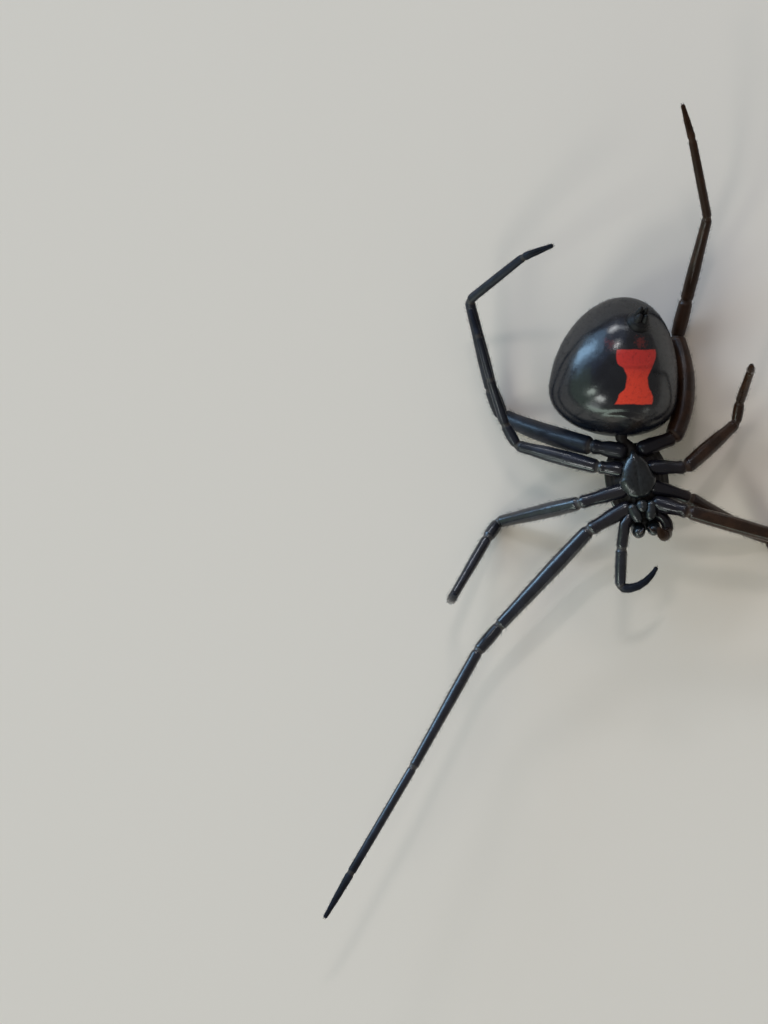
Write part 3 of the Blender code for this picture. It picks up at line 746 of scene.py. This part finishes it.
def carapace_relief(reach, side, share):
    pit = 0.16 * bell(reach + 0.25, 0.34) * bell(side, 0.1)
    grooves = 0.0
    for turn in (radians(degrees) for degrees in (52, 84, 116, 148)):
        along = reach + 0.25
        off = abs(abs(side) * cos(turn) - along * sin(turn))
        ahead = along * cos(turn) + abs(side) * sin(turn)
        grooves += 0.055 * bell(off, 0.1) * bell(ahead - 0.85, 0.5) * (ahead > 0)
    return pit + grooves


def to_carapace(co):
    share, turn = min(hypot(co.x, co.y), 1.0), atan2(co.y, co.x)
    point, reach, side = on_dome(share, turn)
    if co.z < 0.02:
        point.z += carapace_relief(reach, side, share)
        return point
    point.z = RIM_HEIGHT + 0.16 * (1 - share ** 8)
    return point


finish_piece(shaped_sphere(128, 96, to_carapace), "carapace_shell", shell_black, "gloss_black", "carapace")


def to_sternum(co):
    turn, share = atan2(co.y, co.x), hypot(co.x, co.y)
    along, across = cos(turn), sin(turn)
    reach = along * (STERNUM_FRONT if along > 0 else STERNUM_REAR) * share
    point_in = 1 - 0.55 * max(-along, 0) ** 1.6
    side = across * STERNUM_HALF_WIDTH * point_in * (1.08 if along > 0 else 1.0) * share
    scallop = 1 - 0.05 * max(0, cos(turn * 7)) * share ** 6
    if co.z < 0:
        return in_prosoma(reach * scallop * 0.98, side * scallop * 0.98, STERNUM_BASE - 0.1 * (1 - share))
    rise = STERNUM_THICK * (1 - share ** 3.2) ** 0.7
    rise -= 0.05 * bell(side, 0.12) * (1 - share)
    return in_prosoma(reach * scallop, side * scallop, STERNUM_BASE + rise)


finish_piece(shaped_sphere(84, 60, to_sternum), "sternum_plate", shell_black, "gloss_black", "sternum")


def to_core(co):
    """Pleated joint skin that slopes from under the sternum out to the carapace's rim."""
    turn, share = atan2(co.y, co.x), hypot(co.x, co.y)
    reach, side = oval(turn, CARAPACE_FRONT * 0.84, CARAPACE_REAR * 0.98, CARAPACE_HALF_WIDTH * 0.97,
                       CARAPACE_NECK)
    pleat = 0.06 * cos(turn * 16) * bell(share - 0.7, 0.25)
    pleat += 0.03 * cos(share * 44) * bell(share - 0.78, 0.16)
    if co.z < 0:
        return in_prosoma(reach * share, side * share, RIM_HEIGHT + 0.02)
    return in_prosoma(reach * share, side * share, RIM_HEIGHT + 0.1 + 1.28 * (1 - share ** 2.6) + pleat)


finish_piece(shaped_sphere(96, 80, to_core), "side_skin", joint_skin, "joint_brown")

# %% [markdown]
# ## Eyes
# A widow has eight small eyes in two rows on the front of the carapace. They are smooth beads in low rings,
# set on the dome and turned the way it faces there.

# %% Eight eyes in two rows
inner = in_prosoma(CARAPACE_FRONT * 0.35, 0, RIM_HEIGHT - 0.2)
beads = []
for share, turns in ((0.74, (12, 38)), (0.9, (9, 32))):
    for turn in (turns[0], turns[1], -turns[0], -turns[1]):
        point = on_dome(share, radians(turn))[0]
        way = (point - inner).normalized()
        face = way.to_track_quat("Z", "Y").to_euler()
        start_clean()
        bpy.ops.mesh.primitive_uv_sphere_add(segments=24, ring_count=16, radius=EYE_RADIUS * 0.92,
                                             location=point - way * 0.03)
        beads.append(bpy.context.object)
        bpy.ops.mesh.primitive_torus_add(major_segments=28, minor_segments=8, major_radius=EYE_RADIUS * 0.92,
                                         minor_radius=0.028, location=point - way * 0.02, rotation=face)
        beads.append(bpy.context.object)
eyes = joined(beads)
bpy.ops.object.transform_apply(location=True, rotation=True, scale=True)
finish_piece(eyes, "eyes", eye_black, "gloss_black")

# %% [markdown]
# ## Mouthparts, jaws and fangs
# Ahead of the sternum lie the lip and, on both sides of it, the lobes that lean together. Ahead of them hang
# the jaws: barrels, each with a fang that folds in. All are turned limbs again, some pressed flat.

# %% Make the mouthparts and jaws
PATH_STEPS, RINGS = 12, 22


def turned(start, end, profile, flat=1.0, sides=24, bow=None):
    """A closed piece from start to end whose profile lists (share, radius)."""
    middle = start.lerp(end, 0.5) + (bow or Vector())
    points = [start * (1 - t) ** 2 + middle * 2 * t * (1 - t) + end * t * t
              for t in (k / PATH_STEPS for k in range(PATH_STEPS + 1))]
    length = run_along(points)[-1]
    rings = [(length * k / RINGS, smooth_between(profile, k / RINGS)) for k in range(1, RINGS)]
    outline = [(0.0, 0.0)] + rings + [(length, 0.0)]
    limb = spun_limb(outline, sides)
    if flat != 1.0:
        shape(limb, lambda co: Vector((co.x, co.y * flat, co.z)))
    return bent(limb, points)


front = STERNUM_FRONT + 0.2
lip_height = STERNUM_BASE - 0.02
mouth = [turned(in_prosoma(front - 0.05, 0, lip_height), in_prosoma(front + 0.62, 0, lip_height + 0.22),
                ((0, 0.2), (0.3, 0.26), (0.7, 0.24), (0.92, 0.15), (1, 0.05)), flat=1.3)]
for side in (1, -1):
    mouth.append(turned(in_prosoma(front, 0.62 * side, lip_height - 0.02),
                        in_prosoma(front + 1.22, 0.26 * side, lip_height + 0.08),
                        ((0, 0.16), (0.2, 0.28), (0.6, 0.31), (0.85, 0.24), (1, 0.06)), flat=1.1,
                        bow=in_prosoma(0, 0.1 * side, 0) - PROSOMA))
finish_piece(joined(mouth), "mouth_lobes", shell_black, "gloss_black", "mouthparts")

fangs = []
for name, side in (("chelicera_l", 1), ("chelicera_r", -1)):
    foot = in_prosoma(CARAPACE_FRONT - 0.42, 0.45 * side, RIM_HEIGHT + 0.05)
    tip = in_prosoma(CARAPACE_FRONT + 0.12, 0.43 * side, RIM_HEIGHT + 1.42)
    thick = ((0, 0.28), (0.14, 0.38), (0.4, 0.44), (0.7, 0.4), (0.9, 0.29), (1, 0.13))
    jaw = turned(foot, tip, thick, bow=in_prosoma(0.14, 0.05 * side, 0) - PROSOMA)
    finish_piece(jaw, "jaw_" + name[-1], shell_black, "gloss_black", name)
    hinge, point = foot.lerp(tip, 0.95), in_prosoma(CARAPACE_FRONT - 0.2, 0.12 * side, RIM_HEIGHT + 1.5)
    fangs.append(turned(hinge, point, ((0, 0.11), (0.3, 0.09), (0.8, 0.04), (1, 0.008)), sides=14,
                        bow=in_prosoma(0.1, 0.02 * side, 0.1) - PROSOMA))
finish_piece(joined(fangs), "fangs", claw_brown, "joint_brown")

# %% [markdown]
# ## Spinnerets and claws
# At the narrow end of the abdomen six spinnerets stand on a low collar: two large ones ahead, two behind and
# a small pair between. Every leg and palp ends in fine hooked claws that grip the silk.

# %% Make the spinnerets and the claws
def on_abdomen(distance, turn, step=0.05):
    """A place on the abdomen, the way along its surface to the rear and the way out of it."""
    place = abdomen_point(distance, turn)
    across = abdomen_point(distance, turn + step) - abdomen_point(distance, turn - step)
    rearward = (abdomen_point(distance + step, turn) - abdomen_point(distance - step, turn)).normalized()
    out = across.cross(rearward).normalized()
    away = place - along_abdomen(distance, 0.2, BACK_DEPTH)
    return place, rearward, out if out.dot(away) > 0 else -out


spot, _, out = on_abdomen(SPINNERETS_AT, BELLY_TURN)
rearward = along_abdomen(1, 0, 0) - along_abdomen(0, 0, 0)
sideways = out.cross(rearward).normalized()
cones = [turned(spot - out * 0.25, spot + out * 0.42,
                ((0, 0.78), (0.4, 0.72), (0.7, 0.64), (0.95, 0.5), (1, 0.3)), sides=40)]
for back, beside, reach, half in ((-0.26, 0.26, 0.9, 0.25), (0.24, 0.22, 0.8, 0.2), (0.02, 0.1, 0.66, 0.1)):
    profile = scaled(half, ((0, 1), (0.5, 0.96), (0.62, 0.8), (0.66, 0.84), (0.9, 0.55), (1, 0.25)))
    for side in (-beside, beside):
        foot = spot + out * 0.2 + rearward * back + sideways * side
        tip = foot + out * reach * 0.85 + rearward * 0.16 - sideways * side * 0.3
        cones.append(turned(foot, tip, profile, sides=18))
finish_piece(joined(cones), "spinneret_group", matt_black, "joint_brown", "spinnerets")

hooks = []
for name, (limb, points, run, joints) in limbs.items():
    end, ahead = points[-1], (points[-1] - points[-2]).normalized()
    across = ahead.cross(Vector((0, 0, 1))).normalized()
    down = across.cross(ahead).normalized()
    for side in (-1, 1) if name in LEGS else (0,):
        foot = end - ahead * 0.05 + across * side * 0.035
        hooks.append(turned(foot, foot + ahead * 0.15 - down * 0.1 + across * side * 0.04,
                            ((0, 0.03), (0.5, 0.022), (1, 0.004)), sides=6, bow=ahead * 0.06))
finish_piece(joined(hooks), "claws", claw_brown, "joint_brown")

# %% [markdown]
# ## Bristles
# A widow looks bare from a step away, yet its legs carry short bristles that lean towards the tip, denser on
# the last two lengths, and a comb of curved ones under the last length of the hind legs. The abdomen has a
# sparse down. Each bristle is a bent three-sided sliver. Each mesh of them has a map called OFBake that puts
# a bristle at its root's place on the skin's unwrap.

# %% Grow the bristles
PATCH = 0.0015  # half the width of a bristle's place on the unwrap
LEG_BRISTLES, COMB_PAIRS, ABDOMEN_HAIRS, STERNUM_HAIRS = 24, 26, 3600, 420  # the first per square millimetre
BARE_JOINT, BARE_BELOW = 0.14, 0.3  # no bristle grows this near a joint, and no down where the back rests


def bristle_mesh(name, roots, finish, slot):
    """roots lists (point, way, outward, length, half width, place on the unwrap), in millimetres."""
    points, faces, places = [], [], []
    for root, way, outward, length, half, place in roots:
        side = way.cross(outward).normalized()
        lean = (way * 0.8 + outward * 0.6).normalized()
        base = len(points)
        for height, width in ((-0.03, 1.0), (0.5, 0.7)):
            middle = root + lean * (length * height) + outward * (0.06 * length * (height > 0))
            for turn in (0.0, 2.1, 4.2):
                points.append(middle + (side * cos(turn) + outward * sin(turn)) * (half * width))
        points.append(root + lean * length + way * (0.14 * length) - outward * (0.05 * length))
        for a, b in ((0, 1), (1, 2), (2, 0)):
            faces.append((base + a, base + b, base + 3 + b, base + 3 + a))
            faces.append((base + 3 + a, base + 3 + b, base + 6))
        u, v = place
        places += [(u + dx * PATCH, v + dy * PATCH)
                   for dx, dy in ((-1, -1), (0, -1), (1, -1), (-1, 0), (0, 0), (1, 0), (0, 1))]
    mesh = bpy.data.meshes.new(name)
    mesh.from_pydata(points, [], faces)
    layer = mesh.uv_layers.new(name="OFBake")
    for loop in mesh.loops:
        layer.data[loop.index].uv = places[loop.vertex_index]
    print(name, len(roots), "bristles")
    return finish_piece(linked(name, mesh), name, finish, slot)


def limb_roots(name, slot_number, slots):
    """Bristles over a limb's faces, denser towards its tip, leaning along it."""
    limb, points, run, joints = limbs[name]
    unwrap = limb.data.uv_layers["unwrap"].data
    length, roots = run[-1], []
    last_two = joints[-3] / length
    for face in sorted(limb.data.polygons, key=lambda face: [round(c, 7) for c in face.center]):
        u, v = (sum(unwrap[loop].uv[axis] for loop in face.loop_indices) / face.loop_total for axis in (0, 1))
        distance = u * length
        near_joint = min(abs(distance - joint) for joint in joints[:-1])
        if distance < joints[1] * 0.4 or near_joint < BARE_JOINT:
            continue
        want = LEG_BRISTLES * round(face.area * 1e6, 5) * (1.3 if u > last_two else 1.0)
        for k in range(int(want) + (chance.random() < want % 1)):
            corners = [limb.data.vertices[index].co for index in face.vertices]
            a, b = chance.random(), chance.random()
            root = (corners[0].lerp(corners[1], a)).lerp(corners[-1].lerp(corners[-2], a), b) * 1000
            way = at_run(points, run, distance)
            outward = (face.normal - way * face.normal.dot(way)).normalized()
            long = chance.uniform(0.18, 0.30) if u < last_two else chance.uniform(0.10, 0.18)
            roots.append((root, way, outward, long, 0.0065, (u * 0.98 + 0.01, (slot_number + v % 1) / slots)))
    return roots


def comb_roots(name, slot_number, slots):
    """The comb: two rows of stouter, more curved bristles under the last length."""
    limb, points, run, joints = limbs[name]
    roots = []
    for k in range(COMB_PAIRS):
        share = 0.08 + 0.86 * k / COMB_PAIRS
        distance = joints[-2] + (joints[-1] - joints[-2]) * share
        way = at_run(points, run, distance)
        middle = points[-1] - way * (joints[-1] - distance)
        side = way.cross(Vector((0, 0, 1))).normalized()
        up = side.cross(way).normalized()
        for lean in (-0.35, 0.35):
            outward = (up * cos(lean) + side * sin(lean)).normalized()
            radius = smooth_between(leg_profile("4")[5], share)
            roots.append((middle + outward * radius * 0.95, way, outward, 0.3, 0.013,
                          (distance / run[-1] * 0.98 + 0.01, (slot_number + 0.5) / slots)))
    return roots


# the right legs' bristles carry the painted brown reflection, the left ones plain dark
for title, side, tone in (("bristles_left", "_l", bristle_dark), ("bristles_right", "_r", bristle_painted_brown_reflection)):
    names, roots = [name for name in limbs if side in name], []
    for number, name in enumerate(names):
        roots += limb_roots(name, number, len(names))
        if name.endswith("4"):
            roots += comb_roots(name, number, len(names))
    bristle_mesh(title, roots, tone, "leg_black")

roots = []
for k in range(ABDOMEN_HAIRS):
    share, turn = chance.random(), chance.uniform(0, 2 * pi)
    distance = -ABDOMEN_FRONT + (ABDOMEN_FRONT + ABDOMEN_REAR) * (0.02 + 0.96 * share)
    point, rearward, outward = on_abdomen(distance, turn)
    if point.z > BARE_BELOW:
        roots.append((point, rearward, outward, chance.uniform(0.10, 0.17), 0.005,
                      (0.01 + 0.98 * share, turn / (2 * pi) * 0.98 + 0.01)))
bristle_mesh("abdomen_down", roots, bristle_dark, "gloss_black")

roots = []
for k in range(STERNUM_HAIRS):
    share, turn = sqrt(chance.random()) * 0.95, chance.uniform(0, 2 * pi)
    point = to_sternum(Vector((share * cos(turn), share * sin(turn), 1)))
    outward = (Vector((0, 0, 1)) + (point - in_prosoma(0, 0, STERNUM_BASE + 0.2)) * 0.3 * share).normalized()
    way = in_prosoma(-0.3, 0, 0) - in_prosoma(0.7, 0, 0)
    roots.append((point, way.normalized(), outward, chance.uniform(0.12, 0.22), 0.006,
                  (0.5 + share * cos(turn) * 0.48, 0.5 + share * sin(turn) * 0.48)))
bristle_mesh("sternum_down", roots, bristle_dark, "gloss_black")

# %% [markdown]
# ## The studio
# A pale floor and soft panels of light. The reflections on a polished black globe are pictures of the lamps,
# so each lamp stands where its picture shows on the abdomen: its direction is found by mirroring the line of
# sight at that place of the globe. A bluish window is low at the upper left, rolled so that its picture
# slants, with a soft glow round it and sky above. White strips and a spark lie beyond the tail, greenish
# patches at the lower left, a broad low panel before the head, and a faint edge light at the lower right.

# %% Floor and lights
FLOOR_TONE, AIR_TONE, AIR_STRENGTH = (0.92, 0.80, 0.70, 1), (1.0, 0.95, 0.89, 1), 0.22
AIM, LIGHT_DISTANCE = Vector((0, -0.003, 0.0045)), 1.2

start_clean()
bpy.ops.mesh.primitive_plane_add(size=12.0, location=(0, 0, 0))
floor = bpy.context.object
floor.name = "floor"
floor_finish = bpy.data.materials.new("floor_pale")
floor_finish.use_nodes = True
tree = floor_finish.node_tree
fill(tree, tree.nodes["Principled BSDF"], {"Base Color": FLOOR_TONE, "Roughness": 0.9})
floor.data.materials.append(floor_finish)
floor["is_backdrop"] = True

world = bpy.data.worlds.new("studio")
bpy.context.scene.world = world
world.use_nodes = True
tree = world.node_tree
fill(tree, tree.nodes["Background"], {"Color": AIR_TONE, "Strength": AIR_STRENGTH})
bpy.context.scene.view_settings.view_transform = "Standard"


def panel(name, azimuth, elevation, wide, tall, power, colour, roll=0):
    """A lamp that the spider sees this many degrees wide, tall and rolled. The camera doesn't see it."""
    a, e = radians(azimuth), radians(elevation)
    way = Vector((cos(a) * cos(e), sin(a) * cos(e), sin(e)))
    lamp = bpy.data.lights.new(name, "AREA")
    lamp.shape = "RECTANGLE"
    lamp.size, lamp.size_y = (2 * LIGHT_DISTANCE * tan(radians(v) / 2) for v in (wide, tall))
    lamp.energy, lamp.color = power, colour
    made = linked(name, lamp)
    made.location = AIM + way * LIGHT_DISTANCE
    turn = way.to_track_quat("Z", "Y").to_matrix() @ Matrix.Rotation(radians(roll), 3, "Z")
    made.rotation_euler = turn.to_euler()
    made.visible_camera = False


panel("window", 150, 14, 36, 14, 4.3, (0.42, 0.70, 1.0), roll=-52)
panel("window_glow", 143, 21, 46, 36, 4.9, (0.40, 0.68, 1.0), roll=-40)
panel("sky", 120, 36, 70, 50, 1.8, (0.30, 0.50, 1.0))
panel("grass", -160, 26, 60, 40, 1.5, (0.62, 1.0, 0.72))
panel("strip", 104, 25, 14, 6, 1.4, (0.94, 0.97, 1.0))
panel("strip_end", 84, 27, 20, 4, 0.4, (0.90, 0.95, 1.0))
panel("spark", 95, 54, 10, 3, 1.1, (1.0, 1.0, 1.0), roll=20)
panel("patch", -122, 41, 12, 12, 1.9, (0.96, 1.0, 0.97))
panel("patch_high", -150, 42, 10, 14, 1.3, (0.88, 1.0, 0.92))
panel("patch_low", -122, 20, 16, 16, 0.5, (0.92, 0.97, 1.0))
panel("low", -106, 12, 44, 12, 2.4, (0.80, 1.0, 0.86))
panel("edge", -50, 8, 12, 6, 0.18, (0.96, 1.0, 0.90))

# %% [markdown]
# ## The camera
# It looks straight down at the belly. One photo pixel stands for 0.06 mm at the spider, which gives the
# height of the frame, and a long lens far away keeps the legs from growing towards the lens.

# %% Camera
PIXEL, PHOTO_WIDTH, PHOTO_HEIGHT, ABDOMEN_PIXEL = 0.00006, 768, 1024, (613.3, 374.4)
CAMERA_HEIGHT, SENSOR, MID_HEIGHT = 0.50, 36.0, 0.0042
camera_data = bpy.data.cameras.new("camera")
camera = linked("camera", camera_data)
camera.location = ((PHOTO_WIDTH / 2 - ABDOMEN_PIXEL[0]) * PIXEL,
                   (ABDOMEN_PIXEL[1] - PHOTO_HEIGHT / 2) * PIXEL, CAMERA_HEIGHT)
camera_data.sensor_width = SENSOR
camera_data.lens = SENSOR * (CAMERA_HEIGHT - MID_HEIGHT) / (PHOTO_HEIGHT * PIXEL)
camera_data.clip_start = 0.01
bpy.context.scene.camera = camera
print("lens", round(camera_data.lens, 1), "mm")

# %% [markdown]
# ## Measure
# The last cell measures the dressed spider against the box of the solids and writes both down.

# %% Measure and finish
low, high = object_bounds()
for label, a, b in (("solids", cad_low, cad_high), ("dressed", low, high)):
    print(label, [round(v * 1000, 2) for v in a], [round(v * 1000, 2) for v in b])
